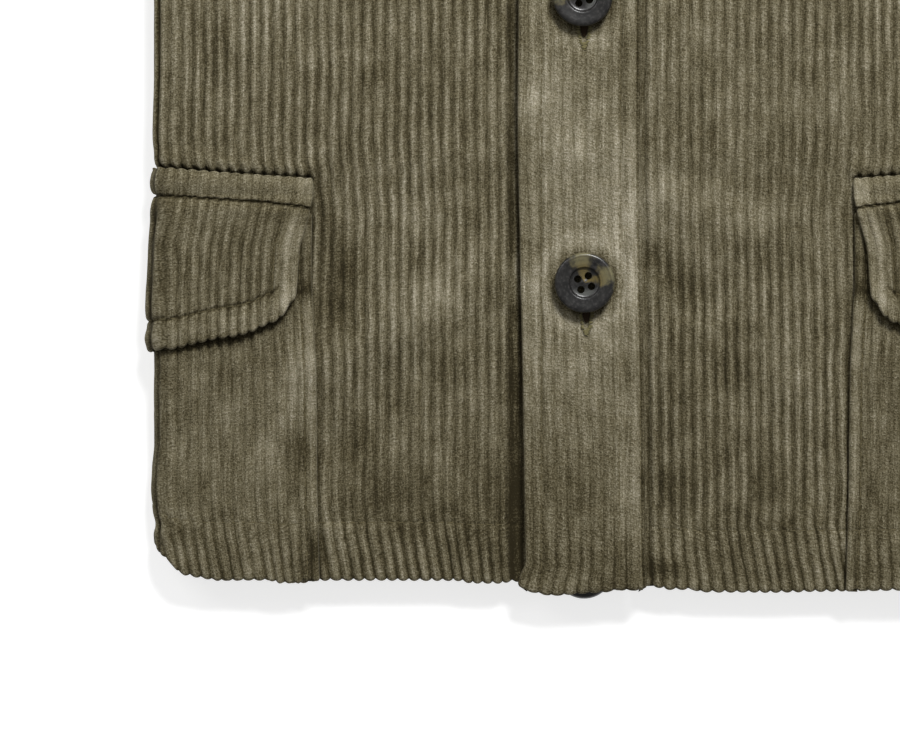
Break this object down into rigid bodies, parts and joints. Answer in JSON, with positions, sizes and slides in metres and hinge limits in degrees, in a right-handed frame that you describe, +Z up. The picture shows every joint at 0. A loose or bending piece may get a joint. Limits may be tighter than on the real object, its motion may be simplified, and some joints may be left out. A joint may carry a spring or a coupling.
{
  "type": "corduroy shirt jacket, folded flat",
  "caption": "Wide-wale corduroy shirt jacket for a man, buttoned, with its sides and sleeves folded behind, lying flat on its back.",
  "frame": {"origin": "middle of the underside, on the surface that the folded garment lies on", "axes": "+Y from the hem to the collar, +X to the viewer's right with the garment face up, +Z up"},
  "size_m": [0.2904, 0.7491, 0.0296],
  "materials": {
    "corduroy": "olive-brown cotton corduroy with broad rounded wales, soft matt pile",
    "button": "dark horn look with amber streaks, polished"
  },
  "bodies": {
    "root": {"front_right": "corduroy", "front_left": "corduroy", "placket": "corduroy", "under_placket": "corduroy", "pocket_right": "corduroy", "pocket_left": "corduroy", "flap_right": "corduroy", "flap_left": "corduroy", "folded_layers": "corduroy", "collar": "corduroy", "collar_stand": "corduroy", "sleeve_right": "corduroy", "sleeve_left": "corduroy", "cuff_right": "corduroy", "cuff_left": "corduroy", "button_1": "button", "button_2": "button", "button_3": "button", "button_4": "button", "button_5": "button", "button_6": "button", "button_collar": "button", "button_spare": "button"}
  },
  "joints": []
}
